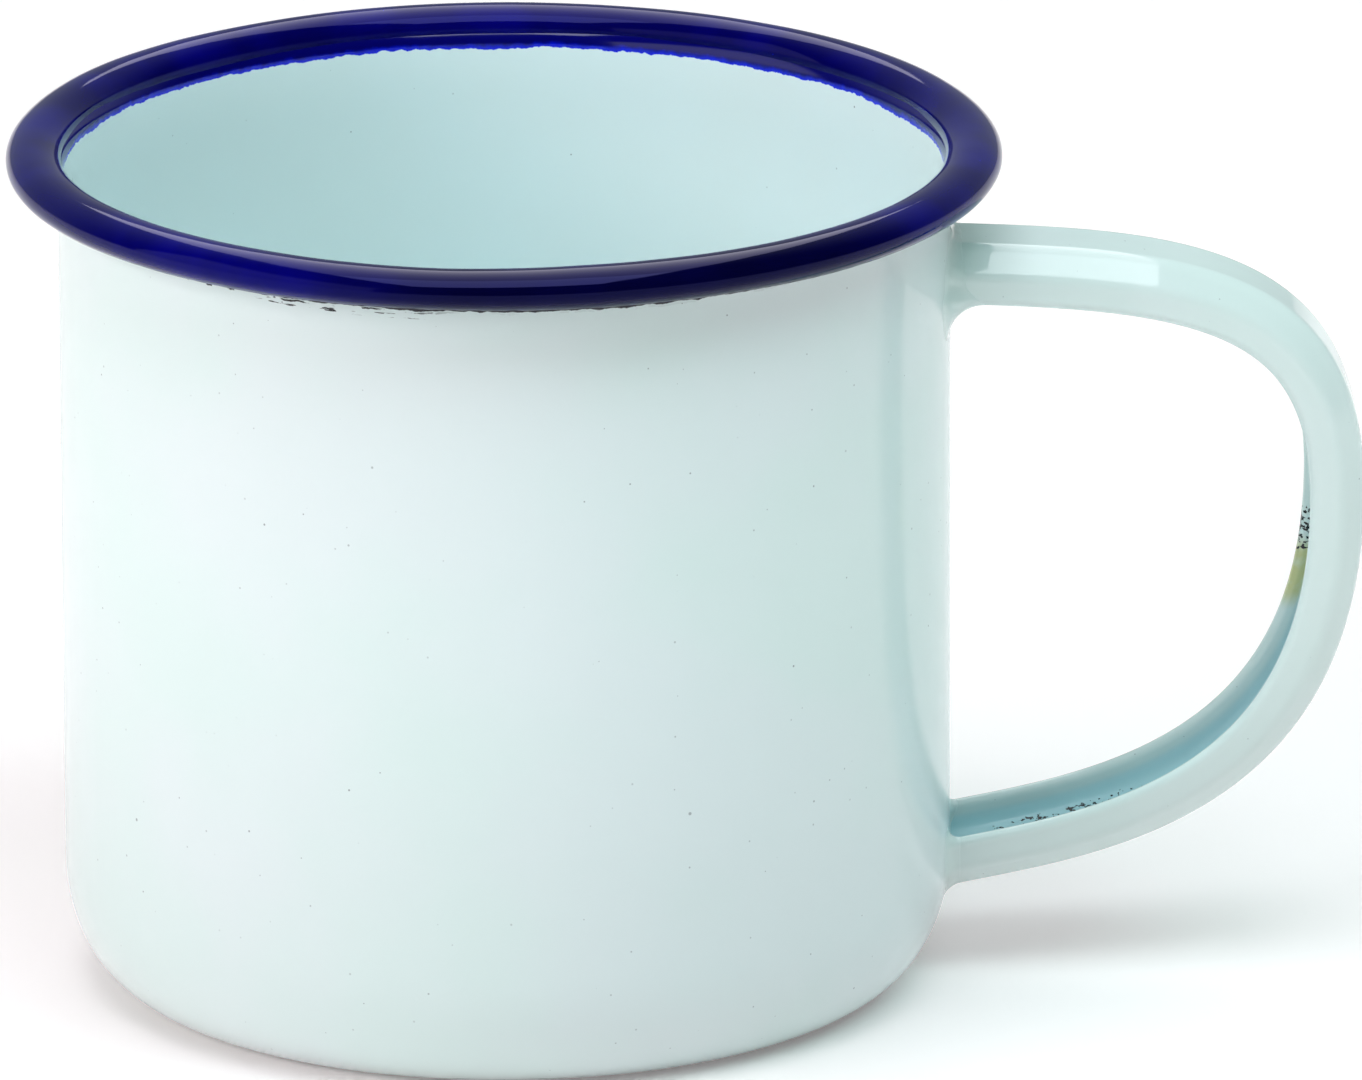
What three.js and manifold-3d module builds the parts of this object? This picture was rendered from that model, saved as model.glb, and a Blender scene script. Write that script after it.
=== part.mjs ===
// An enamelled steel mug: a drawn cup with a rolled rim, and a pressed channel handle welded to its side.
// Millimetres, +Z up. The cup's axis is Z, its base stands on Z = 0, and the handle points along +X.
import * as THREE from "three";
import { mergeVertices } from "three/addons/utils/BufferGeometryUtils.js";
import Module from "manifold-3d";

// Driving dimensions of the cup.
const WALL_RADIUS = 40; // outside of the straight wall
const CUP_SHEET = 0.8; // drawn steel with its enamel on both faces
const CORNER_REACH = 7; // how far the bottom corner turns in
const CORNER_RISE = 11; // how high the bottom corner reaches
const FLARE_START = 70.5; // height where the wall begins to open towards the rim
const FLARE_OUT = 0.5; // how far the wall opens

// Driving dimensions of the rolled rim, an oval tube curled outwards from the wall.
const RIM_RADIUS = 42.15; // from the cup's axis to the middle of the tube
const RIM_HEIGHT = 76.15; // height of the middle of the tube
const RIM_HALF_WIDTH = 2.5;
const RIM_HALF_HEIGHT = 1.85;
const RIM_START_DEG = 203; // where the curl leaves the wall, measured round the tube's middle
const RIM_END_DEG = -118; // where the sheet's edge ends, under the tube

// Driving dimensions of the handle, a strap pressed into a channel that is open towards the fingers.
const STRAP_WIDTH = 12.2;
const STRAP_DEPTH = 5.1;
const STRAP_SHEET = 1.2;
const SHOULDER_ACROSS = 3.7; // half width of the back, up to where its shoulders turn down
const SHOULDER_DEPTH = 0.12; // depth of the shoulders below the middle of the back
const SIDE_START = 2.3; // depth where the sloping shoulders become straight sides
const CORNER_CUT = 0.8; // how far each side of a corner its rounding reaches
const UPPER_FOOT_HEIGHT = 68.4; // back of the strap where it meets the wall, at its upper foot
const LOWER_FOOT_HEIGHT = 7.9; // back of the strap at its lower foot
const HANDLE_REACH = 77.3; // from the cup's axis to the back of the grip
const GRIP_HEIGHT = 44.6; // height of the furthest point
const FOOT_RADIUS = 41; // where the strap's curve starts and ends, from the cup's axis
const UPPER_FOOT_SLOPE_DEG = -2.4; // the strap's slope as it leaves the wall
const LOWER_FOOT_SLOPE_DEG = 11.5;
const UPPER_FOOT_PULL = 19.2; // how far each end of a curve keeps its direction
const UPPER_GRIP_PULL = 21.8;
const LOWER_GRIP_PULL = 31.1;
const LOWER_FOOT_PULL = 12.5;
const FOOT_OVERRUN = 4; // untrimmed length inside the cup

// Welds and clearances.
const WELD_THICKNESS = 1;
const WELD_SPREAD = 0.8; // how far a weld shows outside the strap
const WELD_FILL = 0.4; // how far it fills the channel
const GAP = 0.3; // clearance between neighbouring pieces

// Fineness of the surfaces.
const TURNS = 72;
const ARC_STEPS = 8;
const CORNER_STEPS = 2;
const STRAP_STEPS = 40;

const wasm = await Module();
wasm.setup();

const WHITE_ENAMEL = { color: 0xe9f1f2, roughness: 0.12, metalness: 0 };
const BLUE_ENAMEL = { color: 0x14105c, roughness: 0.08, metalness: 0 };

// A closed geometry as a manifold-3d solid.
function solidOf(geometry) {
  const bare = geometry.clone();
  bare.deleteAttribute("normal");
  bare.deleteAttribute("uv");
  const merged = mergeVertices(bare, 1e-3);
  return new wasm.Manifold(
    new wasm.Mesh({
      numProp: 3,
      vertProperties: new Float32Array(merged.attributes.position.array),
      triVerts: new Uint32Array(merged.index.array),
    }),
  );
}

// A manifold-3d solid as a geometry.
function geometryOf(solid) {
  const made = solid.getMesh();
  const geometry = new THREE.BufferGeometry();
  geometry.setAttribute("position", new THREE.BufferAttribute(made.vertProperties, 3));
  geometry.setIndex(new THREE.BufferAttribute(made.triVerts, 1));
  geometry.computeVertexNormals();
  return geometry;
}

function named(name, geometry, finish) {
  const mesh = new THREE.Mesh(geometry, new THREE.MeshStandardMaterial(finish));
  mesh.name = name;
  return mesh;
}

// A profile of [radius, height] points turned about Z. Its points run from low to high on the outside.
function turned(profile) {
  const points = profile.map(([radius, height]) => new THREE.Vector2(radius, height));
  const geometry = new THREE.LatheGeometry(points, TURNS);
  geometry.rotateX(Math.PI / 2);
  return geometry;
}

// The quarter oval from the flat base up to the wall, with the surface moved out by offset.
function cornerArc(offset) {
  const points = [];
  for (let i = 0; i <= ARC_STEPS; i++) {
    const angle = (i / ARC_STEPS - 1) * (Math.PI / 2);
    points.push([
      WALL_RADIUS - CORNER_REACH + (CORNER_REACH + offset) * Math.cos(angle),
      CORNER_RISE + (CORNER_RISE + offset) * Math.sin(angle),
    ]);
  }
  return points;
}

// The last stretch of wall, which opens smoothly until it meets the rim.
function flareArc(offset) {
  const top = RIM_HEIGHT + RIM_HALF_HEIGHT * Math.sin(THREE.MathUtils.degToRad(RIM_START_DEG));
  const points = [];
  for (let i = 0; i <= ARC_STEPS / 2; i++) {
    const share = i / (ARC_STEPS / 2);
    const height = FLARE_START + (top - GAP - FLARE_START) * share;
    points.push([WALL_RADIUS + offset + FLARE_OUT * share * share, height]);
  }
  return points;
}

// The drawn cup: flat base, rounded corner, straight wall and flare, open at the top.
function cupBody() {
  const outside = [[0, 0], ...cornerArc(0), ...flareArc(0)];
  const inside = [[0, CUP_SHEET], ...cornerArc(-CUP_SHEET), ...flareArc(-CUP_SHEET)];
  return turned([...outside, ...inside.reverse()]);
}

// Everything inside the cup's outer surface once that is moved out by offset.
function cupEnvelope(offset) {
  const outside = [[0, -offset], ...cornerArc(offset), [WALL_RADIUS + offset, FLARE_START]];
  return solidOf(turned([...outside, [0, FLARE_START]]));
}

// The rim: the cup's edge curled outwards into a hollow oval tube, left open by a slit underneath.
function rolledRim() {
  const steps = ARC_STEPS * 1.5;
  const curl = (shrink) => {
    const points = [];
    for (let i = 0; i <= steps; i++) {
      const degrees = RIM_END_DEG + ((RIM_START_DEG - RIM_END_DEG) * i) / steps;
      const angle = THREE.MathUtils.degToRad(degrees);
      points.push([
        RIM_RADIUS + (RIM_HALF_WIDTH - shrink) * Math.cos(angle),
        RIM_HEIGHT + (RIM_HALF_HEIGHT - shrink) * Math.sin(angle),
      ]);
    }
    return points;
  };
  const profile = [...curl(0), ...curl(CUP_SHEET).reverse()];
  return turned([...profile, profile[0]]);
}

// The back of the strap, seen from the side, from the upper foot round the grip to the lower foot.
// It starts and ends inside the cup, so that the cup's own shape can trim both feet.
function strapPath() {
  const at = (radius, height) => new THREE.Vector3(radius, 0, height);
  const along = (foot, degrees, distance) => {
    const angle = THREE.MathUtils.degToRad(degrees);
    return at(foot.x + distance * Math.cos(angle), foot.z + distance * Math.sin(angle));
  };
  const upperFoot = at(FOOT_RADIUS, UPPER_FOOT_HEIGHT);
  const upperPull = along(upperFoot, UPPER_FOOT_SLOPE_DEG, UPPER_FOOT_PULL);
  const upperGrip = at(HANDLE_REACH, GRIP_HEIGHT + UPPER_GRIP_PULL);
  const grip = at(HANDLE_REACH, GRIP_HEIGHT);
  const lowerGrip = at(HANDLE_REACH, GRIP_HEIGHT - LOWER_GRIP_PULL);
  const lowerFoot = at(FOOT_RADIUS, LOWER_FOOT_HEIGHT);
  const lowerPull = along(lowerFoot, LOWER_FOOT_SLOPE_DEG, LOWER_FOOT_PULL);
  const path = new THREE.CurvePath();
  path.add(new THREE.LineCurve3(along(upperFoot, UPPER_FOOT_SLOPE_DEG, -FOOT_OVERRUN), upperFoot));
  path.add(new THREE.CubicBezierCurve3(upperFoot, upperPull, upperGrip, grip));
  path.add(new THREE.CubicBezierCurve3(grip, lowerGrip, lowerPull, lowerFoot));
  path.add(new THREE.LineCurve3(lowerFoot, along(lowerFoot, LOWER_FOOT_SLOPE_DEG, -FOOT_OVERRUN)));
  return path;
}

// An open outline's corners, each moved along its bisector so that every side shifts inwards by distance.
function insetCorners(corners, distance) {
  const inwards = corners.slice(1).map((corner, i) => {
    const ahead = corner.clone().sub(corners[i]).normalize();
    return new THREE.Vector2(-ahead.y, ahead.x);
  });
  return corners.map((corner, i) => {
    const before = inwards[Math.max(i - 1, 0)];
    const after = inwards[Math.min(i, inwards.length - 1)];
    const bisector = before.clone().add(after).divideScalar(1 + before.dot(after));
    return corner.clone().addScaledVector(bisector, distance);
  });
}

// The channel's wall from its left lip over the back to its right lip, inset from the outside.
function channelWall(inset) {
  const half = STRAP_WIDTH / 2;
  const lipDepth = STRAP_DEPTH - STRAP_SHEET / 2;
  const right = [
    [SHOULDER_ACROSS, SHOULDER_DEPTH],
    [half, SIDE_START],
    [half, lipDepth],
  ];
  const left = right.map(([across, depth]) => [-across, depth]).reverse();
  const corners = [...left, [0, 0], ...right].map(([x, y]) => new THREE.Vector2(x, y));
  const moved = insetCorners(corners, inset);
  const outline = new THREE.Path();
  outline.moveTo(moved[0].x, moved[0].y);
  for (let i = 1; i < moved.length - 1; i++) {
    const start = moved[i - 1].clone().sub(moved[i]).setLength(CORNER_CUT).add(moved[i]);
    const end = moved[i + 1].clone().sub(moved[i]).setLength(CORNER_CUT).add(moved[i]);
    outline.lineTo(start.x, start.y);
    outline.quadraticCurveTo(moved[i].x, moved[i].y, end.x, end.y);
  }
  outline.lineTo(moved.at(-1).x, moved.at(-1).y);
  return outline.getPoints(CORNER_STEPS);
}

// The channel's cross-section: x across the strap, y from its back towards the fingers.
// grow widens it on the outside and shrink thickens it on the inside.
function channelSection(grow, shrink) {
  const lip = STRAP_SHEET / 2;
  const lipMiddle = STRAP_WIDTH / 2 - lip + (grow - shrink) / 2;
  const lipHalf = lip + (grow + shrink) / 2;
  const lipArc = (side) => {
    const points = [];
    for (let i = 1; i < ARC_STEPS / 2; i++) {
      const angle = (Math.PI * i) / (ARC_STEPS / 2);
      const across = side * (lipMiddle + lipHalf * Math.cos(angle));
      points.push(new THREE.Vector2(across, STRAP_DEPTH - lip + (lip + grow) * Math.sin(angle)));
    }
    return side > 0 ? points : points.reverse();
  };
  const outside = channelWall(-grow);
  const inside = channelWall(STRAP_SHEET + shrink).reverse();
  return [...outside, ...lipArc(1), ...inside, ...lipArc(-1)];
}

// A cross-section swept along the strap's path.
function sweptStrap(section) {
  return solidOf(
    new THREE.ExtrudeGeometry(new THREE.Shape(section), {
      steps: STRAP_STEPS,
      extrudePath: strapPath(),
      bevelEnabled: false,
    }),
  );
}

// The pressed strap, trimmed at both feet to follow the wall.
function handleStrap() {
  const clearance = GAP + WELD_THICKNESS + GAP;
  return geometryOf(sweptStrap(channelSection(0, 0)).subtract(cupEnvelope(clearance)));
}

// The welds: what is left of a thicker channel between the wall and the strap, one at each foot.
function handleWelds() {
  const thick = sweptStrap(channelSection(WELD_SPREAD, WELD_FILL));
  const seam = thick.intersect(cupEnvelope(GAP + WELD_THICKNESS)).subtract(cupEnvelope(GAP));
  const bodies = seam.decompose();
  bodies.sort((a, b) => b.boundingBox().max[2] - a.boundingBox().max[2]);
  return bodies.map(geometryOf);
}

const mug = new THREE.Group();
mug.add(named("cup_body", cupBody(), WHITE_ENAMEL));
mug.add(named("rolled_rim", rolledRim(), BLUE_ENAMEL));
mug.add(named("handle_strap", handleStrap(), WHITE_ENAMEL));
const welds = handleWelds();
mug.add(named("upper_handle_weld", welds[0], WHITE_ENAMEL));
mug.add(named("lower_handle_weld", welds[1], WHITE_ENAMEL));

export default mug;
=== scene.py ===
"""An enamelled steel mug with a blue rolled rim and a channel handle, around its CAD frame."""

import math

import bmesh
import bpy
import numpy as np
from mathutils import Matrix, Vector


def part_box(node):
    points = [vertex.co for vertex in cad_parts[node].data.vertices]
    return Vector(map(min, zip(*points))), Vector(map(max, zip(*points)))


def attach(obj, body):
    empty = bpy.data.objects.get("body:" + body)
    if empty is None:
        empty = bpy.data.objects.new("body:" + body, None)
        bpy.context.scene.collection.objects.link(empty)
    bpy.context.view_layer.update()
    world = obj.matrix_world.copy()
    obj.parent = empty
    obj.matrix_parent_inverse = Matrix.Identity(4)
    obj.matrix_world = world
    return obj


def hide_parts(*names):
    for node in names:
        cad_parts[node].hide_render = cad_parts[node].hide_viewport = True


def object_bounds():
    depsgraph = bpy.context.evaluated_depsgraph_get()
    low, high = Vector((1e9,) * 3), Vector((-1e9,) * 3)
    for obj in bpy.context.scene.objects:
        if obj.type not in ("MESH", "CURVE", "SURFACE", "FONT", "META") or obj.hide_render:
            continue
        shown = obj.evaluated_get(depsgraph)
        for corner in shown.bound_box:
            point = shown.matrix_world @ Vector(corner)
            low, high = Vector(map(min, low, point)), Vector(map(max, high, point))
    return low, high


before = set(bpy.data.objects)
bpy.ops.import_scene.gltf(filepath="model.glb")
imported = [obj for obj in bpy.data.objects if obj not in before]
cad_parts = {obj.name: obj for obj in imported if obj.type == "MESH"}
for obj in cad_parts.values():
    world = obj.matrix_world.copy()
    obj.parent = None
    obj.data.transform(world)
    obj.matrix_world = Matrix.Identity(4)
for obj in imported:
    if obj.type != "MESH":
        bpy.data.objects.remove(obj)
cad_low, cad_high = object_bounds()

MM = 0.001
rng = np.random.default_rng(8)

# Sizes that the frame gives, in millimetres.
rim_low, rim_high = (np.array(corner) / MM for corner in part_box("rolled_rim"))
strap_low, strap_high = (np.array(corner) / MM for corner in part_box("handle_strap"))
cup_high = np.array(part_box("cup_body")[1]) / MM
RIM_HALF_HEIGHT = (rim_high[2] - rim_low[2]) / 2
RIM_HEIGHT = (rim_high[2] + rim_low[2]) / 2
RIM_HALF_WIDTH = 2.5
RIM_RADIUS = rim_high[0] - RIM_HALF_WIDTH
STRAP_WIDTH = strap_high[1] - strap_low[1]
HANDLE_REACH = strap_high[0]

# The cup's section, as in the CAD model, in millimetres.
FLARE_OUT = 0.5
WALL_RADIUS = round(cup_high[0] - FLARE_OUT, 2)
CUP_SHEET = 0.8
CORNER_REACH = 7.0
CORNER_RISE = 11.0
FLARE_START = 70.5

# The handle's section and side view, as in the CAD model, in millimetres and degrees.
STRAP_DEPTH = 5.1
STRAP_SHEET = 1.2
SHOULDER_ACROSS = 3.7
SIDE_START = 2.3
CORNER_CUT = 0.8
CROWN_RISE = 0.12
LIP_RADIUS = 0.7
FOOT_RADIUS = 41.0
UPPER_FOOT = (FOOT_RADIUS, 68.4)
LOWER_FOOT = (FOOT_RADIUS, 7.9)
GRIP = (HANDLE_REACH, 44.6)
UPPER_FOOT_SLOPE = -2.4
LOWER_FOOT_SLOPE = 11.5
UPPER_FOOT_PULL = 19.2
UPPER_GRIP_PULL = 21.8
LOWER_GRIP_PULL = 31.1
LOWER_FOOT_PULL = 12.5
FOOT_OVERRUN = 4.0


# ---------------------------------------------------------------- meshes

def grid_mesh(name, points, close_rows, close_columns):
    """A mesh of quads over points[row, column], in millimetres. Either direction can close on itself."""
    rows, columns = points.shape[:2]
    faces = []
    for i in range(rows if close_rows else rows - 1):
        for j in range(columns if close_columns else columns - 1):
            i2 = (i + 1) % rows
            j2 = (j + 1) % columns
            faces.append((i * columns + j, i * columns + j2, i2 * columns + j2, i2 * columns + j))
    mesh = bpy.data.meshes.new(name)
    mesh.from_pydata((points.reshape(-1, 3) * MM).tolist(), [], faces)
    return mesh


def finish_solid(mesh, end_rings=()):
    """Closes the given rings of vertices with a face each, and turns every face outwards."""
    made = bmesh.new()
    made.from_mesh(mesh)
    made.verts.ensure_lookup_table()
    for ring in end_rings:
        made.faces.new([made.verts[i] for i in ring])
    bmesh.ops.recalc_face_normals(made, faces=made.faces)
    made.to_mesh(mesh)
    made.free()
    mesh.shade_smooth()


def piece(name, mesh, materials, node):
    """A piece that rides on the mug's one body and stands for a CAD node."""
    for material in materials:
        mesh.materials.append(material)
    made = bpy.data.objects.new(name, mesh)
    bpy.context.scene.collection.objects.link(made)
    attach(made, "root")
    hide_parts(node)
    return made


def around(count):
    """Angles that go once round."""
    return np.arange(count) * 2 * math.pi / count


def slow_wave(angles, size, most_turns):
    """A smooth random wave, up to size high, that closes on itself after at most most_turns waves."""
    wave = np.zeros_like(angles)
    for turns in range(2, most_turns + 1):
        phase = rng.uniform(0, 2 * math.pi)
        wave += rng.uniform(0.3, 1) * np.sin(turns * angles + phase) / turns**0.7
    return size * wave / np.abs(wave).max()


# ---------------------------------------------------------------- the cup

CUP_TURNS = 288
RIM_TURNS = 576
RIM_STEPS = 64


def corner_arc(offset, steps=28):
    """The quarter oval between the base and the wall, as (radius, height)."""
    angles = np.linspace(-math.pi / 2, 0, steps)
    radius = WALL_RADIUS - CORNER_REACH + (CORNER_REACH + offset) * np.cos(angles)
    return np.stack([radius, CORNER_RISE + (CORNER_RISE + offset) * np.sin(angles)], axis=1)


def wall_line(offset, top, steps=46):
    """The wall from the corner up to top, which opens smoothly above the start of the flare."""
    height = np.linspace(CORNER_RISE, top, steps)[1:]
    share = np.clip((height - FLARE_START) / (RIM_HEIGHT - FLARE_START), 0, 1)
    return np.stack([WALL_RADIUS + offset + FLARE_OUT * share**2, height], axis=1)


def base_line(height, steps=12):
    """The base from near the axis out to the corner."""
    radius = np.linspace(0.5, WALL_RADIUS - CORNER_REACH, steps)[:-1]
    return np.stack([radius, np.full_like(radius, height)], axis=1)


def cup_mesh():
    """Base, corner and wall as one sheet with an inside and an outside. Its top edge is inside the rim.
    Material 0 is the outside and material 1 the inside."""
    top = RIM_HEIGHT + 0.2
    outside = np.vstack([base_line(0), corner_arc(0), wall_line(0, top)])
    inside = np.vstack([base_line(CUP_SHEET), corner_arc(-CUP_SHEET), wall_line(-CUP_SHEET, top)])
    profile = np.vstack([outside, inside[::-1]])
    angles = around(CUP_TURNS)
    # The wall is a little uneven, except by the handle, where the welds fit it.
    wave = slow_wave(angles, 0.05, 7) * np.sin(angles / 2)**2
    lift = np.clip(profile[:, 1] / RIM_HEIGHT, 0, 1)
    radius = profile[:, 0][:, None] + lift[:, None] * wave
    height = np.repeat(profile[:, 1][:, None], CUP_TURNS, axis=1)
    points = np.stack([radius * np.cos(angles), radius * np.sin(angles), height], axis=-1)
    mesh = grid_mesh("mug_cup", points, False, True)
    last = (len(profile) - 1) * CUP_TURNS
    finish_solid(mesh, [range(CUP_TURNS), range(last, last + CUP_TURNS)])
    for face in mesh.polygons:
        face.material_index = int(min(face.vertices) >= len(outside) * CUP_TURNS)
    return mesh


def rim_mesh():
    """The curled edge: an oval tube that wanders a little in place and size, as a rolled rim does."""
    angles = around(RIM_TURNS)
    radius = RIM_RADIUS + slow_wave(angles, 0.06, 9)
    height = RIM_HEIGHT + slow_wave(angles, 0.05, 8)
    wide = RIM_HALF_WIDTH + slow_wave(angles, 0.06, 11)
    tall = RIM_HALF_HEIGHT + slow_wave(angles, 0.05, 11)
    lumpy = slow_wave(angles, 0.03, 40)
    section = around(RIM_STEPS)[:, None]
    out = radius + (wide + lumpy) * np.cos(section)
    up = height + (tall + lumpy) * np.sin(section)
    points = np.stack([out * np.cos(angles), out * np.sin(angles), up], axis=-1)
    mesh = grid_mesh("mug_rim", points, True, True)
    finish_solid(mesh)
    return mesh


# ---------------------------------------------------------------- the handle

STRAP_ROWS = 2400
HANDLE_ROWS = 240
LOOP_POINTS = 168
FILLET_STEPS = 16


def bezier(start, pull_a, pull_b, end, steps=400):
    t = np.linspace(0, 1, steps)[:, None]
    p = [np.array(point, float) for point in (start, pull_a, pull_b, end)]
    return (1 - t)**3 * p[0] + 3 * (1 - t)**2 * t * p[1] + 3 * (1 - t) * t**2 * p[2] + t**3 * p[3]


def stepped(foot, slope, distance):
    """The point that lies distance away from a foot, along the strap's slope there."""
    angle = math.radians(slope)
    return (foot[0] + distance * math.cos(angle), foot[1] + distance * math.sin(angle))


def evenly(line, count):
    """A line resampled to count evenly spaced points."""
    steps = np.hypot(*np.diff(line[:, :2], axis=0).T)
    line = line[np.concatenate([[True], steps > 1e-6])]
    lengths = np.concatenate([[0], np.cumsum(np.hypot(*np.diff(line[:, :2], axis=0).T))])
    even = np.linspace(0, lengths[-1], count)
    return np.stack([np.interp(even, lengths, column) for column in line.T], axis=1)


def strap_line():
    """Points (radius, height) along the back of the strap, from one buried foot to the other."""
    upper = bezier(
        UPPER_FOOT,
        stepped(UPPER_FOOT, UPPER_FOOT_SLOPE, UPPER_FOOT_PULL),
        (GRIP[0], GRIP[1] + UPPER_GRIP_PULL),
        GRIP,
    )
    lower = bezier(
        GRIP,
        (GRIP[0], GRIP[1] - LOWER_GRIP_PULL),
        stepped(LOWER_FOOT, LOWER_FOOT_SLOPE, LOWER_FOOT_PULL),
        LOWER_FOOT,
    )
    first = stepped(UPPER_FOOT, UPPER_FOOT_SLOPE, -FOOT_OVERRUN)
    last = stepped(LOWER_FOOT, LOWER_FOOT_SLOPE, -FOOT_OVERRUN)
    return evenly(np.vstack([[first], upper, lower[1:], [last]]), STRAP_ROWS)


def inset_corners(corners, inset):
    """An open outline's corners moved to its right by inset, each along its own bisector."""
    ahead = np.diff(corners, axis=0)
    ahead /= np.hypot(*ahead.T)[:, None]
    sides = np.stack([ahead[:, 1], -ahead[:, 0]], axis=1)
    before = np.vstack([sides[:1], sides])
    after = np.vstack([sides, sides[-1:]])
    return corners + inset * (before + after) / (1 + (before * after).sum(axis=1))[:, None]


def rounded(corners, cut, steps=14):
    """An open outline whose inner corners are replaced by curves that start cut away from them."""
    t = np.linspace(0, 1, steps)[:, None]
    line = [corners[:1]]
    for before, corner, after in zip(corners, corners[1:], corners[2:]):
        start = corner + cut * (before - corner) / np.hypot(*(before - corner))
        end = corner + cut * (after - corner) / np.hypot(*(after - corner))
        line.append((1 - t)**2 * start + 2 * (1 - t) * t * corner + t**2 * end)
    return np.vstack([*line, corners[-1:]])


def channel_wall(inset):
    """The channel from lip over back to lip as (across, depth), inset from its outside."""
    half = STRAP_WIDTH / 2
    lip_depth = STRAP_DEPTH - LIP_RADIUS
    right = [(SHOULDER_ACROSS, CROWN_RISE), (half, SIDE_START), (half, lip_depth)]
    left = [(-across, depth) for across, depth in right[::-1]]
    wall = rounded(inset_corners(np.array(left + right), -inset), CORNER_CUT)
    # The back bulges a little between its shoulders.
    wall[:, 1] -= CROWN_RISE * np.clip(1 - (wall[:, 0] / SHOULDER_ACROSS)**2, 0, 1)
    return wall


def channel_loop():
    """The channel's closed outline: points (across, depth), normals, and 1 where it faces the hollow."""
    middle = STRAP_WIDTH / 2 - STRAP_SHEET / 2
    turn = np.linspace(-0.3, math.pi + 0.3, 19)
    lip_depth = STRAP_DEPTH - LIP_RADIUS
    lip = np.stack([LIP_RADIUS * np.cos(turn), lip_depth + LIP_RADIUS * np.sin(turn)], axis=1)
    outer = channel_wall(0)
    inner = channel_wall(STRAP_SHEET)[::-1]
    loop = np.vstack([outer[1:-1], lip + (middle, 0), inner[1:-1], lip + (-middle, 0), outer[1:2]])
    hollow = np.zeros(len(loop))
    hollow[len(outer) + len(lip) - 2:len(outer) + len(lip) + len(inner) - 4] = 1
    loop = evenly(np.column_stack([loop, hollow]), LOOP_POINTS + 1)[:-1]
    ahead = np.roll(loop, -1, axis=0) - np.roll(loop, 1, axis=0)
    normals = np.stack([ahead[:, 1], -ahead[:, 0]], axis=1)
    normals /= np.hypot(*normals.T)[:, None]
    return loop[:, :2], normals, loop[:, 2]


def strap_sweep():
    """The channel swept along the whole line: points[row, outline point] and their normals."""
    line = strap_line()
    loop, normals, _ = channel_loop()
    ahead = np.gradient(line, axis=0)
    ahead /= np.hypot(*ahead.T)[:, None]
    inwards = np.stack([ahead[:, 1], np.zeros(len(line)), -ahead[:, 0]], axis=1)[:, None]
    across = np.array([0.0, 1.0, 0.0])
    back = np.stack([line[:, 0], np.zeros(len(line)), line[:, 1]], axis=1)[:, None]
    points = back + loop[:, :1] * across + loop[:, 1:] * inwards
    return points, normals[:, :1] * across + normals[:, 1:] * inwards


def wall_distance(points):
    """How far points are outside the cup, measured straight away from its axis."""
    low = np.clip((CORNER_RISE - points[..., 2]) / CORNER_RISE, 0, 1)
    surface = WALL_RADIUS - CORNER_REACH * (1 - np.sqrt(1 - low**2))
    return np.hypot(points[..., 0], points[..., 1]) - surface


def at_distance(values, away, distance):
    """For each outline point, the swept values where the sweep is at that distance from the wall."""
    found = np.empty(values.shape[1:])
    for k in range(values.shape[1]):
        for axis in range(values.shape[2]):
            found[k, axis] = np.interp(distance[k], away[:, k], values[:, k, axis])
    return found


def foot_rows(sweep, upper):
    """The sweep's rows by one foot, from the wall outwards."""
    rows = int(len(sweep) / 10)
    return sweep[:rows] if upper else sweep[::-1][:rows]


def strap_mesh(sweep):
    """The strap from inside the wall's sheet, round the grip, to the other foot."""
    sunk = np.full(LOOP_POINTS, -CUP_SHEET / 2)
    ends = []
    for upper in (True, False):
        near = foot_rows(sweep, upper)
        ends.append(at_distance(near, wall_distance(near), sunk))
    clear = np.nonzero((wall_distance(sweep) > 0).all(axis=1))[0]
    rows = np.linspace(clear[0], clear[-1], HANDLE_ROWS).astype(int)
    points = np.concatenate([[ends[0]], sweep[rows], [ends[1]]])
    mesh = grid_mesh("mug_handle", points, False, True)
    last = (len(points) - 1) * LOOP_POINTS
    finish_solid(mesh, [range(LOOP_POINTS), range(last, last + LOOP_POINTS)])
    loop, _, hollow = channel_loop()
    for name, values in (("across", loop[:, 0] * MM), ("depth", loop[:, 1] * MM), ("hollow", hollow)):
        held = mesh.attributes.new(name, "FLOAT", "POINT")
        held.data.foreach_set("value", np.tile(values, len(points)).astype(np.float32))
    return mesh


def moved_off_wall(points, distance):
    """Points moved straight away from the cup's axis until they are at that distance from the wall."""
    out = points[:, :2] / np.hypot(points[:, 0], points[:, 1])[:, None]
    moved = points.copy()
    moved[:, :2] += out * (distance - wall_distance(points))[:, None]
    return moved


def weld_mesh(name, sweep, normals, upper, reach):
    """A round fillet of enamelled weld between the wall and the strap at one foot.
    reach is the fillet's radius at each point of the channel's outline."""
    near = foot_rows(sweep, upper)
    facing = foot_rows(normals, upper)
    away = wall_distance(near)
    buried = -CUP_SHEET / 3
    # Each ring: its distance from the wall and its height over the strap.
    rings = [(np.full(LOOP_POINTS, buried), reach)]
    for angle in np.linspace(0, math.pi / 2, FILLET_STEPS):
        rings.append((reach * (1 - math.cos(angle)), reach * (1 - math.sin(angle))))
    rings.append((reach + 0.1, np.full(LOOP_POINTS, buried)))
    rings.append((np.full(LOOP_POINTS, buried), np.full(LOOP_POINTS, buried)))
    points = []
    for distance, height in rings:
        place = at_distance(near, away, distance)
        normal = at_distance(facing, away, distance)
        points.append(moved_off_wall(place + normal * height[:, None], distance))
    mesh = grid_mesh(name, np.array(points), True, True)
    finish_solid(mesh)
    return mesh


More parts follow.
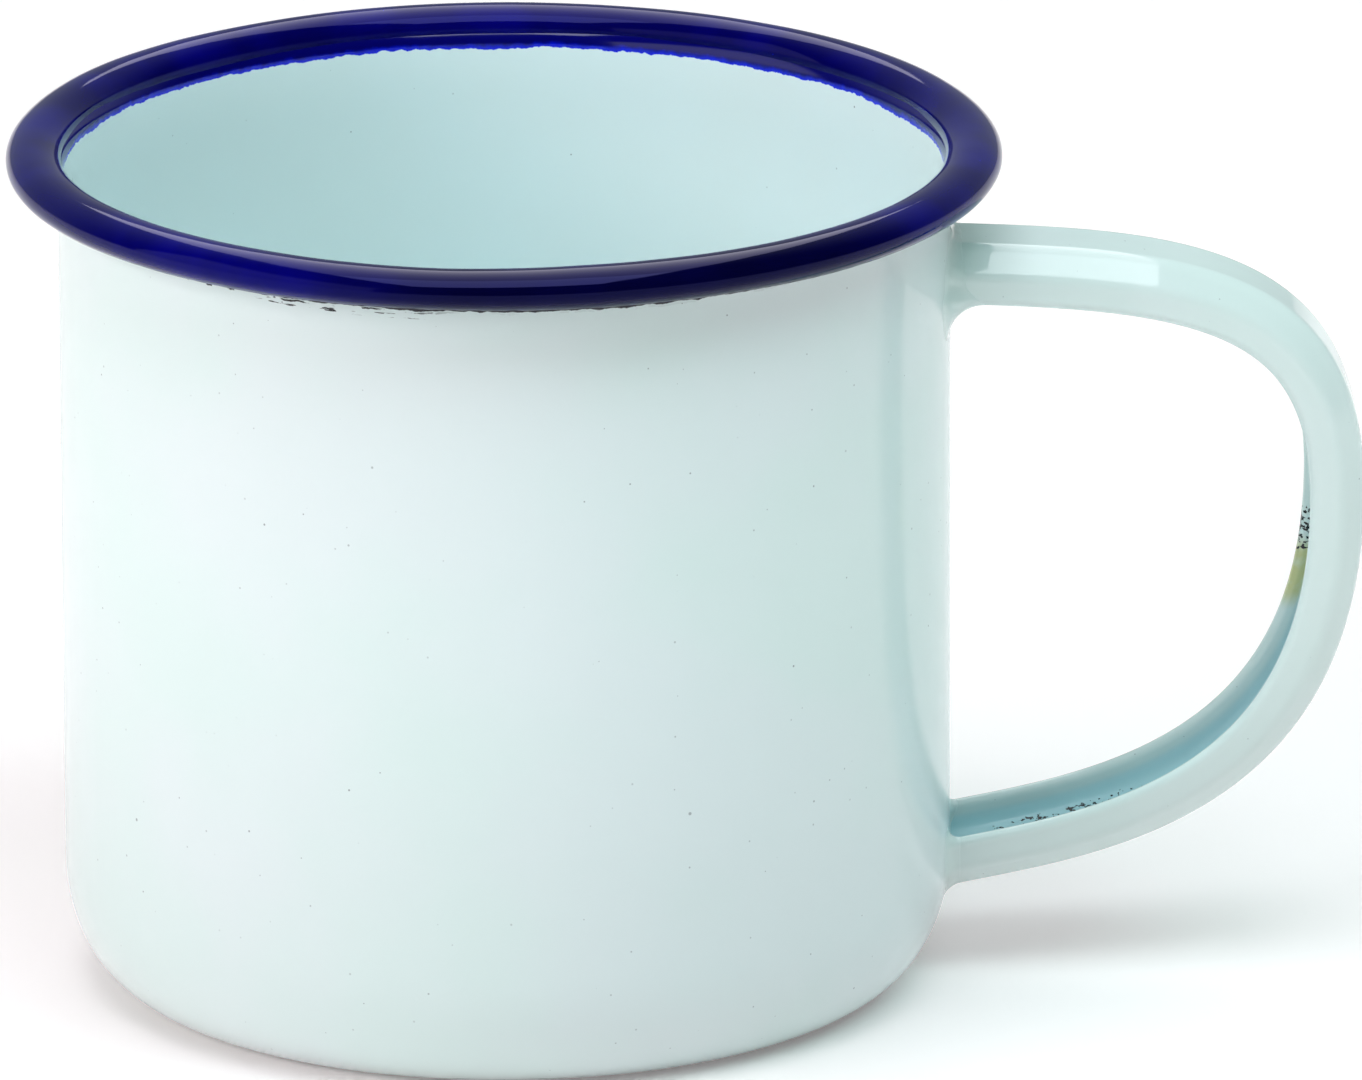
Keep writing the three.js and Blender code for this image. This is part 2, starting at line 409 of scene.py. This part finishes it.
def fillet_reach(back, side, lips, inside):
    """The fillet's radius round the outline: on the back, the sides, the lips and deep in the hollow."""
    loop, _, hollow = channel_loop()
    depths = (0, SIDE_START, STRAP_DEPTH - 1.5, STRAP_DEPTH)
    outside = np.interp(loop[:, 1], depths, (back, side, side, lips))
    within = np.interp(loop[:, 1], (STRAP_DEPTH - 2, STRAP_DEPTH), (inside, lips))
    reach = np.where(hollow > 0.5, within, outside)
    return sum(np.roll(reach, shift) for shift in range(-3, 4)) / 7


# ---------------------------------------------------------------- materials

class Shader:
    """A new material with short calls for its nodes. Places are the object's own, in metres."""

    def __init__(self, name):
        self.material = bpy.data.materials.new(name)
        self.material.use_nodes = True
        self.tree = self.material.node_tree
        self.surface = self.tree.nodes["Principled BSDF"]
        self.place = self.add("ShaderNodeTexCoord").outputs["Object"]
        split = self.add("ShaderNodeSeparateXYZ", {"Vector": self.place})
        self.x, self.y, self.z = split.outputs

    def add(self, kind, inputs=None, **settings):
        node = self.tree.nodes.new(kind)
        for name, value in settings.items():
            setattr(node, name, value)
        for name, value in (inputs or {}).items():
            self.give(node.inputs[name], value)
        return node

    def give(self, socket, value):
        if isinstance(value, bpy.types.NodeSocket):
            self.tree.links.new(value, socket)
        elif socket.type == "RGBA":
            socket.default_value = (*value, 1.0)
        else:
            socket.default_value = value

    def math(self, operation, a, b=0.0):
        return self.add("ShaderNodeMath", {0: a, 1: b}, operation=operation).outputs[0]

    def times(self, *values):
        product = values[0]
        for value in values[1:]:
            product = self.math("MULTIPLY", product, value)
        return product

    def plus(self, *values):
        total = values[0]
        for value in values[1:]:
            total = self.math("ADD", total, value)
        return total

    def from_axis(self):
        """The distance from the cup's axis."""
        return self.math("SQRT", self.plus(self.times(self.x, self.x), self.times(self.y, self.y)))

    def fade(self, value, low, high, start=0.0, end=1.0):
        """start up to low, end from high on, and a smooth change between them."""
        inputs = {"Value": value, "From Min": low, "From Max": high, "To Min": start, "To Max": end}
        return self.add("ShaderNodeMapRange", inputs, interpolation_type="SMOOTHSTEP").outputs[0]

    def window(self, value, low, high, soft):
        """1 from low to high, falling to 0 over soft on both sides."""
        rising = self.fade(value, low - soft, low)
        return self.times(rising, self.fade(value, high, high + soft, 1.0, 0.0))

    def stretched(self, x, y, z):
        """The place, with its axes scaled, so that textures come out longer along the smaller ones."""
        inputs = {0: self.place, 1: (x, y, z)}
        return self.add("ShaderNodeVectorMath", inputs, operation="MULTIPLY").outputs[0]

    def noise(self, size, detail=2.0, place=None):
        """Smooth noise around 0.5 whose waves are about size long."""
        inputs = {"Vector": place or self.place, "Scale": 1 / size, "Detail": detail}
        return self.add("ShaderNodeTexNoise", inputs).outputs["Fac"]

    def dots(self, spacing, radius, share, place=None):
        """1 inside round dots of up to that radius, held by a share of the cells of that spacing."""
        inputs = {"Vector": place or self.place, "Scale": 1 / spacing}
        cells = self.add("ShaderNodeTexVoronoi", inputs)
        chance = self.add("ShaderNodeSeparateColor", {"Color": cells.outputs["Color"]}).outputs
        held = self.math("LESS_THAN", chance[1], share)
        size = self.fade(chance[0], 0.0, 1.0, 0.45 * radius / spacing, radius / spacing)
        inside = self.math("SUBTRACT", 1.0, self.math("DIVIDE", cells.outputs["Distance"], size))
        return self.times(self.fade(inside, 0.0, 0.45), held, self.fade(chance[2], 0.0, 1.0, 0.4, 1.0))

    def pinholes(self, small_share, large_share):
        """Pinholes of two sizes, held by those shares of their cells."""
        small = self.dots(0.0018, 0.00013, small_share)
        return self.math("MAXIMUM", small, self.dots(0.0055, 0.00022, large_share))

    def mixed(self, share, low, high):
        """Colour low where share is 0 and colour high where it is 1."""
        node = self.add("ShaderNodeMix", data_type="RGBA")
        for socket, value in ((node.inputs[0], share), (node.inputs[6], low), (node.inputs[7], high)):
            self.give(socket, value)
        return node.outputs[2]

    def bumps(self, *layers):
        """A normal from (height 0 to 1, depth in metres) layers."""
        total = self.plus(*[self.times(height, depth) for height, depth in layers])
        return self.add("ShaderNodeBump", {"Height": total, "Distance": 1.0, "Strength": 1.0}).outputs[0]

    def glaze(self, colour, roughness, normal, ior=1.5, shine=(1.0, 1.0, 1.0)):
        """Sets the glossy enamel surface. shine is the tint of its reflections seen face on."""
        inputs = {
            "Base Color": colour,
            "Roughness": roughness,
            "Normal": normal,
            "IOR": ior,
            "Specular Tint": shine,
        }
        for name, value in inputs.items():
            self.give(self.surface.inputs[name], value)
        return self.material


WHITE = (0.805, 0.915, 0.915)
WHITE_WARM = (0.825, 0.905, 0.92)
WHITE_GREEN = (0.785, 0.91, 0.895)
# Painted light: the inside's white is partly a lighter, bluer copy of the outside's.
WHITE_WITHIN = (0.81, 0.935, 0.95)
HOLLOW_PAINTED_SHADE = (0.42, 0.64, 0.69)
# Painted shade: the handle's whites are a little darker than the cup's.
HANDLE_WHITE = (0.785, 0.88, 0.87)
HANDLE_GREEN = (0.76, 0.87, 0.85)
LOW_PAINTED_SHADE = (0.1, 0.13, 0.13)
PINHOLE = (0.16, 0.18, 0.2)
BARE_STEEL = (0.012, 0.012, 0.016)
STAIN = (0.62, 0.6, 0.27)
FRONT_PAPER = (0.64, 0.64, 0.64)
NAVY = (0.001, 0.0007, 0.08)
NAVY_DARK = (0.0008, 0.0008, 0.012)
NAVY_LIGHT = (0.0015, 0.001, 0.15)
BAND_BLUE = (0.001, 0.001, 0.13)
BRIGHT_BLUE = (0.0, 0.009, 0.8)
BLUE_SHINE = (0.3, 0.3, 1.0)
BLUE_IOR = 1.34

# Places of edges and marks, in metres.
DIP_LINE = 0.0733
DASH_HEIGHTS = (0.0727, 0.0730)
DASHES_ACROSS = (-0.021, -0.009)
SCUFF_RING = (0.0310, 0.0330)
BAND_EDGE = 0.0746
FRINGE_HEIGHT = 0.0745
BEAD_OUTSIDE = 0.0404
LOW_ARM_CHIPS = (0.0475, 0.0535)
GRIP_CHIPS = (0.0368, 0.0402)
STAIN_HEIGHTS = (0.0330, 0.0362)


def glazed_white(shader, tint):
    """The cup's white enamel in that colour, with its soft waves and uneven gloss."""
    normal = shader.bumps(
        (shader.noise(0.004, 0.0), 0.000012),
        (shader.noise(0.001, 1.0), 0.000002),
    )
    roughness = shader.fade(shader.noise(0.012, 3.0), 0.3, 0.7, 0.08, 0.15)
    return shader.glaze(tint, roughness, normal)


def white_outside():
    """The cup's outer enamel, with the ragged edge of the rim's dip and dashes below it."""
    shader = Shader("white_enamel_outside")
    tint = shader.mixed(shader.fade(shader.noise(0.03, 3.0), 0.35, 0.65), WHITE_GREEN, WHITE_WARM)
    # Painted shade: the white is a little greyer low down.
    tint = shader.mixed(shader.fade(shader.z, 0.0, 0.05, 0.13, 0.0), tint, LOW_PAINTED_SHADE)
    pinholes = shader.pinholes(0.8, 0.35)
    tint = shader.mixed(shader.times(pinholes, 0.7), tint, PINHOLE)
    ragged = shader.times(shader.plus(shader.noise(0.0016, 4.0), -0.5), 0.0007)
    line_height = shader.plus(shader.z, ragged, -DIP_LINE)
    line = shader.window(line_height, -0.00006, 0.00006, 0.00005)
    broken = shader.times(
        shader.fade(shader.noise(0.002, 3.0), 0.5, 0.56),
        shader.fade(shader.x, -0.010, -0.004, 1.0, 0.1),
        shader.fade(shader.y, -0.01, 0.0, 1.0, 0.2),
    )
    flat = shader.stretched(1.0, 1.0, 7.0)
    dashes = shader.fade(shader.noise(0.0018, 3.0, flat), 0.6, 0.63)
    dash_zone = shader.times(
        shader.window(shader.z, *DASH_HEIGHTS, 0.0001),
        shader.window(shader.x, *DASHES_ACROSS, 0.002),
    )
    marks = shader.math("MAXIMUM", shader.times(line, broken), shader.times(dashes, dash_zone))
    tint = shader.mixed(marks, tint, BARE_STEEL)
    dipped = shader.fade(line_height, 0.00012, 0.0002)
    tint = shader.mixed(dipped, tint, NAVY_DARK)
    # The edge of the base is scuffed where it stands.
    scuffs = shader.times(
        shader.fade(shader.z, 0.0001, 0.0006, 1.0, 0.0),
        shader.window(shader.from_axis(), *SCUFF_RING, 0.0025),
        shader.fade(shader.noise(0.0007, 5.0), 0.5, 0.66),
    )
    tint = shader.mixed(shader.times(scuffs, 0.6), tint, PINHOLE)
    return glazed_white(shader, tint)


def white_inside():
    """The cup's inner enamel, with the ragged lower edge of the rim's blue."""
    shader = Shader("white_enamel_inside")
    tint = shader.mixed(shader.fade(shader.noise(0.03, 3.0), 0.35, 0.65), WHITE_WITHIN, WHITE)
    pinholes = shader.pinholes(0.7, 0.3)
    tint = shader.mixed(shader.times(pinholes, 0.7), tint, PINHOLE)
    teeth = shader.times(shader.plus(shader.noise(0.0008, 4.0), -0.5), 0.0006)
    waves = shader.times(shader.plus(shader.noise(0.006, 2.0), -0.5), 0.0008)
    height = shader.plus(shader.z, teeth, waves, -BAND_EDGE)
    depth = shader.fade(height, 0.0, 0.0006)
    blue = shader.mixed(depth, BRIGHT_BLUE, BAND_BLUE)
    tint = shader.mixed(shader.fade(height, -0.00004, 0.00004), tint, blue)
    return glazed_white(shader, tint)


def blue_rim():
    """The rim's blue enamel, which ends underneath in a ragged edge over the white."""
    shader = Shader("blue_enamel")
    lighter = shader.fade(shader.noise(0.011, 3.0), 0.4, 0.7)
    blue = shader.mixed(lighter, NAVY, NAVY_LIGHT)
    # Painted shade: the front of the bead's outer face is darker.
    front = shader.times(
        shader.fade(shader.from_axis(), 0.0412, 0.0428),
        shader.fade(shader.y, -0.036, -0.022, 1.0, 0.0),
        shader.fade(shader.x, -0.022, -0.004),
    )
    blue = shader.mixed(shader.times(front, 0.85), blue, NAVY_DARK)
    # Painted glints: small dots of bright blue in the colour.
    glints = shader.dots(0.0016, 0.00009, 0.25)
    blue = shader.mixed(glints, blue, BRIGHT_BLUE)
    teeth = shader.times(shader.plus(shader.noise(0.0012, 4.0), -0.5), 0.0006)
    height = shader.plus(shader.z, teeth, -FRINGE_HEIGHT)
    outer = shader.math("GREATER_THAN", shader.from_axis(), BEAD_OUTSIDE)
    burnt = shader.times(outer, shader.fade(height, 0.00005, 0.00025, 1.0, 0.0))
    colour = shader.mixed(burnt, blue, BARE_STEEL)
    normal = shader.bumps(
        (shader.noise(0.005, 1.0), 0.00002),
        (shader.noise(0.0012, 2.0), 0.000002),
    )
    glossy = shader.fade(shader.noise(0.01, 3.0), 0.3, 0.7, 0.04, 0.08)
    roughness = shader.plus(glossy, shader.times(burnt, 0.6))
    return shader.glaze(colour, roughness, normal, BLUE_IOR, BLUE_SHINE)


def handle_white(name, worn):
    """The handle's enamel: worn, with chips and a stain in the channel, or else over a lumpy weld."""
    shader = Shader(name)
    tint = shader.mixed(shader.fade(shader.noise(0.02, 3.0), 0.35, 0.65), HANDLE_GREEN, HANDLE_WHITE)
    # Painted shade: the handle's white is a little greyer low down.
    tint = shader.mixed(shader.fade(shader.z, 0.01, 0.04, 0.17, 0.0), tint, LOW_PAINTED_SHADE)
    pinholes = shader.dots(0.0016, 0.00010, 0.7)
    tint = shader.mixed(shader.times(pinholes, 0.6), tint, PINHOLE)
    layers = [
        (shader.noise(0.005, 1.0), 0.00002),
        (shader.noise(0.0011, 2.0), 0.000002),
    ]
    if worn:
        across, depth, hollow = (
            shader.add("ShaderNodeAttribute", attribute_name=key).outputs["Fac"]
            for key in ("across", "depth", "hollow")
        )
        far_side = shader.fade(across, 0.0022, 0.0032)
        low_arm = shader.times(
            hollow,
            far_side,
            shader.window(shader.x, *LOW_ARM_CHIPS, 0.006),
            shader.window(depth, 0.0013, 0.0022, 0.0004),
            shader.fade(shader.z, 0.025, 0.03, 1.0, 0.0),
        )
        far_lip = shader.times(
            far_side,
            shader.fade(depth, 0.0036, 0.0040),
            shader.fade(shader.x, 0.065, 0.066),
        )
        grip = shader.times(far_lip, shader.window(shader.z, *GRIP_CHIPS, 0.0009))
        zones = shader.math("MAXIMUM", low_arm, grip)
        grain = shader.noise(0.00028, 2.0, shader.stretched(0.6, 1.0, 1.0))
        patches = shader.noise(0.0025, 1.0)
        chipped = shader.fade(shader.plus(grain, shader.times(patches, zones, 0.35)), 0.71, 0.74)
        chipped = shader.times(chipped, shader.fade(zones, 0.05, 0.2))
        stain = shader.times(
            far_lip,
            shader.window(shader.z, *STAIN_HEIGHTS, 0.0022),
            shader.fade(shader.noise(0.002, 3.0), 0.35, 0.6, 0.55, 0.95),
        )
        # Painted shade: the hollow is darker and bluer.
        within = shader.times(hollow, shader.fade(depth, 0.0045, 0.003))
        tint = shader.mixed(within, tint, HOLLOW_PAINTED_SHADE)
        tint = shader.mixed(stain, tint, STAIN)
        tint = shader.mixed(chipped, tint, BARE_STEEL)
        layers.append((chipped, -0.0001))
    else:
        layers.append((shader.noise(0.0024, 1.0), 0.00015))
    roughness = shader.fade(shader.noise(0.01, 2.0), 0.3, 0.7, 0.03, 0.06)
    return shader.glaze(tint, roughness, shader.bumps(*layers))


def floor_white():
    """Pale paper with a faint tooth, greyer in front. It glows a little, and more so far off."""
    shader = Shader("studio_paper")
    pale = shader.mixed(shader.noise(0.4, 3.0), (0.94, 0.87, 0.87), (0.97, 0.9, 0.9))
    shade = shader.mixed(shader.fade(shader.y, -0.35, -0.02), FRONT_PAPER, pale)
    normal = shader.bumps((shader.noise(0.002, 4.0), 0.00002))
    shader.give(shader.surface.inputs["Emission Color"], (1.0, 0.93, 0.93))
    glow = shader.fade(shader.from_axis(), 0.08, 0.6, NEAR_GLOW, FAR_GLOW)
    shader.give(shader.surface.inputs["Emission Strength"], glow)
    return shader.glaze(shade, 0.7, normal)


# ---------------------------------------------------------------- the stage

FLOOR_RADIUS = 8.0
NEAR_GLOW = 0.11
FAR_GLOW = 0.4
ROOM_IN_REFLECTIONS = 0.35
FILL_DISTANCE = 1.6
FILL_SIZE = 0.7
VIEW_AZIMUTH = math.radians(-1.4)
VIEW_ELEVATION = math.radians(17.47)
VIEW_ROLL = -0.003
VIEW_DISTANCE = 2.0
LENS = 587.0
SENSOR = 36.0
# The view's centre, from the middle of the CAD box, in metres.
VIEW_OFFSET = Vector((-0.00058, -0.00038, 0.00082))


def make_floor(material):
    mesh = bpy.data.meshes.new("floor")
    made = bmesh.new()
    bmesh.ops.create_circle(made, cap_ends=True, radius=FLOOR_RADIUS, segments=96)
    made.to_mesh(mesh)
    made.free()
    mesh.materials.append(material)
    floor = bpy.data.objects.new("floor", mesh)
    bpy.context.scene.collection.objects.link(floor)
    floor.location.z = cad_low[2] - 0.00005


def turned_to(place, target):
    """The world matrix of a light or camera at place that looks at target."""
    aim = (Vector(target) - Vector(place)).to_track_quat("-Z", "Y")
    return Matrix.Translation(place) @ aim.to_matrix().to_4x4()


def soft_light(
    name, place, target, size_x, size_y, radiance, colour, lights_surfaces=True, reflected=True
):
    """A rectangular light of even brightness. Its power follows from its brightness and its size."""
    light = bpy.data.lights.new(name, "AREA")
    light.color = colour
    light.shape = "RECTANGLE"
    light.size = size_x
    light.size_y = size_y
    light.energy = math.pi * size_x * size_y * radiance
    made = bpy.data.objects.new(name, light)
    bpy.context.scene.collection.objects.link(made)
    made.matrix_world = turned_to(place, target)
    made.visible_camera = False
    made.visible_diffuse = lights_surfaces
    made.visible_glossy = reflected


def fill_light(name, azimuth, elevation, radiance, colour):
    """A square soft light aimed at the mug from far off, which reflections don't show."""
    turn, lift = math.radians(azimuth), math.radians(elevation)
    away = Vector((math.sin(turn) * math.cos(lift), -math.cos(turn) * math.cos(lift), math.sin(lift)))
    middle = Vector((0, 0, 0.04))
    place = middle + away * FILL_DISTANCE
    soft_light(name, place, middle, FILL_SIZE, FILL_SIZE, radiance, colour, reflected=False)


def make_lights():
    """One light over the mug, two panels that only reflections show, and three tinted fills.
    The tints and strengths were chosen to match the photo."""
    soft_light(
        "overhead_front", (0.0, -0.35, 1.0), (0.0, -0.35, 0.0),
        size_x=0.7, size_y=0.7, radiance=4.2, colour=(0.92, 0.96, 1.0),
    )
    soft_light(
        "overhead_back", (0.0, 0.9, 1.0), (0.0, 0.9, 0.0),
        size_x=0.7, size_y=1.8, radiance=2.4, colour=(1.0, 0.97, 1.0), lights_surfaces=False,
    )
    soft_light(
        "left_card", (-1.2, -1.02, 0.6), (0.0, -1.02, 0.6),
        size_x=2.12, size_y=1.2, radiance=0.8, colour=(1.0, 1.0, 1.0), lights_surfaces=False,
    )
    fill_light("left_fill", -70, 25, radiance=5.2, colour=(1.0, 0.88, 0.87))
    fill_light("front_fill", -40, 25, radiance=3.1, colour=(0.85, 0.97, 0.95))
    fill_light("right_fill", 60, 55, radiance=4.2, colour=(0.6, 1.0, 0.94))


def make_world():
    """A pale room behind the mug and a dark one on the camera's side, both dimmer in reflections.
    The camera itself sees plain white."""
    world = bpy.data.worlds.new("studio")
    bpy.context.scene.world = world
    world.use_nodes = True
    tree = world.node_tree
    tree.nodes.clear()
    ray = tree.nodes.new("ShaderNodeTexCoord")
    split = tree.nodes.new("ShaderNodeSeparateXYZ")
    tree.links.new(ray.outputs["Generated"], split.inputs[0])
    behind = tree.nodes.new("ShaderNodeMapRange")
    behind.interpolation_type = "SMOOTHSTEP"
    for name, value in (("From Min", 0.0), ("From Max", 0.7), ("To Min", 0.03), ("To Max", 0.95)):
        behind.inputs[name].default_value = value
    tree.links.new(split.outputs["Y"], behind.inputs["Value"])
    path = tree.nodes.new("ShaderNodeLightPath")
    seen_in_gloss = tree.nodes.new("ShaderNodeMath")
    seen_in_gloss.operation = "MULTIPLY_ADD"
    tree.links.new(path.outputs["Is Glossy Ray"], seen_in_gloss.inputs[0])
    seen_in_gloss.inputs[1].default_value = ROOM_IN_REFLECTIONS - 1
    seen_in_gloss.inputs[2].default_value = 1
    strength = tree.nodes.new("ShaderNodeMath")
    strength.operation = "MULTIPLY"
    tree.links.new(behind.outputs[0], strength.inputs[0])
    tree.links.new(seen_in_gloss.outputs[0], strength.inputs[1])
    room = tree.nodes.new("ShaderNodeBackground")
    tree.links.new(strength.outputs[0], room.inputs["Strength"])
    room.inputs["Color"].default_value = (0.93, 1, 1, 1)
    seen = tree.nodes.new("ShaderNodeBackground")
    seen.inputs["Color"].default_value = (0.93, 0.93, 0.93, 1)
    mix = tree.nodes.new("ShaderNodeMixShader")
    out = tree.nodes.new("ShaderNodeOutputWorld")
    tree.links.new(path.outputs["Is Camera Ray"], mix.inputs[0])
    tree.links.new(room.outputs[0], mix.inputs[1])
    tree.links.new(seen.outputs[0], mix.inputs[2])
    tree.links.new(mix.outputs[0], out.inputs["Surface"])


def make_camera():
    middle = (Vector(cad_low) + Vector(cad_high)) / 2
    target = middle + VIEW_OFFSET
    away = Vector((
        math.sin(VIEW_AZIMUTH) * math.cos(VIEW_ELEVATION),
        -math.cos(VIEW_AZIMUTH) * math.cos(VIEW_ELEVATION),
        math.sin(VIEW_ELEVATION),
    ))
    camera = bpy.data.cameras.new("camera")
    camera.sensor_width = SENSOR
    camera.lens = LENS
    made = bpy.data.objects.new("camera", camera)
    bpy.context.scene.collection.objects.link(made)
    level = turned_to(target + away * VIEW_DISTANCE, target)
    made.matrix_world = level @ Matrix.Rotation(VIEW_ROLL, 4, "Z")
    bpy.context.scene.camera = made


# ---------------------------------------------------------------- the mug on its stage

make_camera()
make_world()
make_floor(floor_white())
make_lights()

sweep, sweep_normals = strap_sweep()
piece("mug_cup", cup_mesh(), [white_outside(), white_inside()], "cup_body")
piece("mug_rim", rim_mesh(), [blue_rim()], "rolled_rim")
handle_enamel = handle_white("handle_enamel", True)
piece("mug_handle", strap_mesh(sweep), [handle_enamel], "handle_strap")
weld_enamel = handle_white("weld_enamel", False)
for name, upper, reach, node in (
    ("mug_upper_weld", True, fillet_reach(1.0, 1.6, 3.6, 0.5), "upper_handle_weld"),
    ("mug_lower_weld", False, fillet_reach(1.2, 1.2, 1.2, 0.5), "lower_handle_weld"),
):
    mesh = weld_mesh(name, sweep, sweep_normals, upper, reach)
    piece(name, mesh, [weld_enamel], node)

bpy.context.scene.view_settings.view_transform = "Standard"
